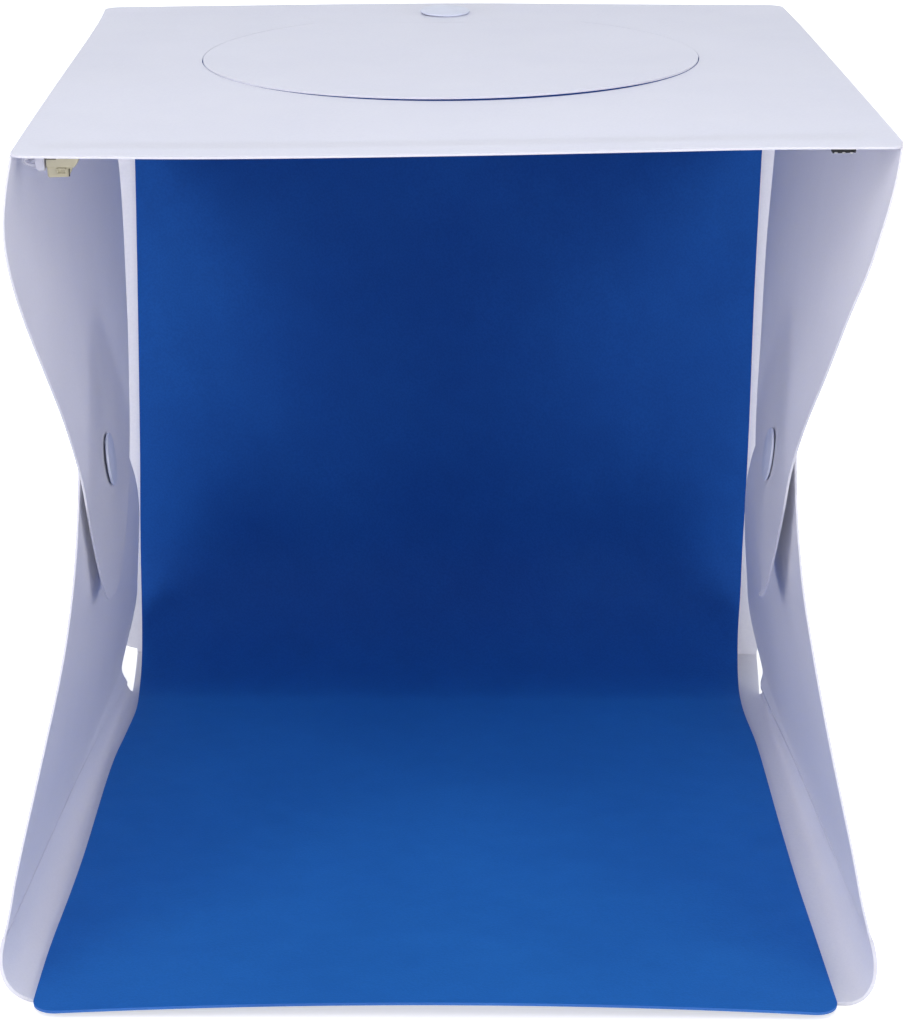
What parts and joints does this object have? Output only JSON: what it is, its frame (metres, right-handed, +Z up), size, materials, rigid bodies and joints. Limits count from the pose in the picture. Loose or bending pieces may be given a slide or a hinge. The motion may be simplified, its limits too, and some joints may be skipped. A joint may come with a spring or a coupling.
{
  "type": "light tent cube",
  "caption": "Folding table-top light tent: a white sheet cube with snapped side flaps, a round overhead window flap, a blue sweep backdrop and an LED strip under the top.",
  "frame": {"origin": "on the floor, on the underside of the base, under the middle of the top panel", "axes": "+X to the object's left-to-right seen from the open front, +Y from the open front to the back panel, +Z up"},
  "size_m": [0.2414, 0.269, 0.2315],
  "materials": {
    "white_sheet": "satin white polypropylene sheet",
    "white_plastic": "semi-gloss moulded snap",
    "blue_sheet": "matt blue flexible sheet",
    "tape_foam": "white double-sided tape",
    "board_white": "white solder mask",
    "led_phosphor": "yellow phosphor gel",
    "dark_part": "black moulded part",
    "tin_plate": "tinned metal",
    "cream_housing": "cream nylon",
    "pale_plug": "pale plug and lead jacket"
  },
  "bodies": {
    "base": {"base_panel": "white_sheet", "backdrop": "blue_sheet"},
    "back": {"back_panel": "white_sheet"},
    "top": {"top_panel": "white_sheet", "backdrop_tab": "blue_sheet", "top_cap": "white_plastic", "top_socket": "white_plastic", "tab_stud": "white_plastic", "tab_cap": "white_plastic", "led_tape": "tape_foam", "led_board": "board_white", "led_chip_1": "led_phosphor", "led_chip_2": "led_phosphor", "led_chip_3": "led_phosphor", "led_chip_4": "led_phosphor", "led_chip_5": "led_phosphor", "led_chip_6": "led_phosphor", "led_chip_7": "led_phosphor", "led_chip_8": "led_phosphor", "led_chip_9": "led_phosphor", "led_chip_10": "led_phosphor", "led_chip_11": "led_phosphor", "led_chip_12": "led_phosphor", "led_chip_13": "led_phosphor", "led_chip_14": "led_phosphor", "led_chip_15": "led_phosphor", "led_chip_16": "led_phosphor", "led_chip_17": "led_phosphor", "led_chip_18": "led_phosphor", "led_chip_19": "led_phosphor", "led_chip_20": "led_phosphor", "led_resistor_1": "dark_part", "led_resistor_2": "dark_part", "led_resistor_3": "dark_part", "led_resistor_4": "dark_part", "led_resistor_5": "dark_part", "power_socket": "cream_housing", "power_pin_1": "tin_plate", "power_pin_2": "tin_plate", "lead_plug": "pale_plug", "led_lead_1": "pale_plug", "led_lead_2": "pale_plug", "driver_chip": "dark_part", "driver_chip_legs": "tin_plate"},
    "lid": {"window_lid": "white_sheet"},
    "left_upper": {"left_upper_flap": "white_sheet", "left_inner_cap": "white_plastic", "left_socket": "white_plastic"},
    "right_upper": {"right_upper_flap": "white_sheet", "right_inner_cap": "white_plastic", "right_socket": "white_plastic"},
    "left_lower": {"left_lower_flap": "white_sheet", "left_stud": "white_plastic", "left_outer_cap": "white_plastic"},
    "right_lower": {"right_lower_flap": "white_sheet", "right_stud": "white_plastic", "right_outer_cap": "white_plastic"}
  },
  "joints": [
    {"name": "back_fold", "type": "hinge", "parent": "base", "child": "back", "pos_m": [0, 0.12, 0.00115], "axis": [-1, 0, 0], "range_deg": [0, 90], "deforming": ["backdrop"]},
    {"name": "top_fold", "type": "hinge", "parent": "back", "child": "top", "pos_m": [0, 0.12, 0.22885], "axis": [-1, 0, 0], "range_deg": [0, 90], "deforming": ["backdrop"]},
    {"name": "lid_hinge", "type": "hinge", "parent": "top", "child": "lid", "pos_m": [0, 0.08983, 0.23], "axis": [-1, 0, 0], "range_deg": [0, 110]},
    {"name": "left_upper_fold", "type": "hinge", "parent": "top", "child": "left_upper", "pos_m": [-0.112, 0, 0.22885], "axis": [0, -1, 0], "range_deg": [0, 30]},
    {"name": "right_upper_fold", "type": "hinge", "parent": "top", "child": "right_upper", "pos_m": [0.112, 0, 0.22885], "axis": [0, 1, 0], "range_deg": [0, 55]},
    {"name": "left_lower_fold", "type": "hinge", "parent": "base", "child": "left_lower", "pos_m": [-0.11536, 0, 0.00783], "axis": [-0.0381, -0.9981, 0.0485], "range_deg": [0, 95]},
    {"name": "right_lower_fold", "type": "hinge", "parent": "base", "child": "right_lower", "pos_m": [0.11536, 0, 0.00783], "axis": [-0.0381, 0.9981, -0.0485], "range_deg": [0, 95]}
  ]
}
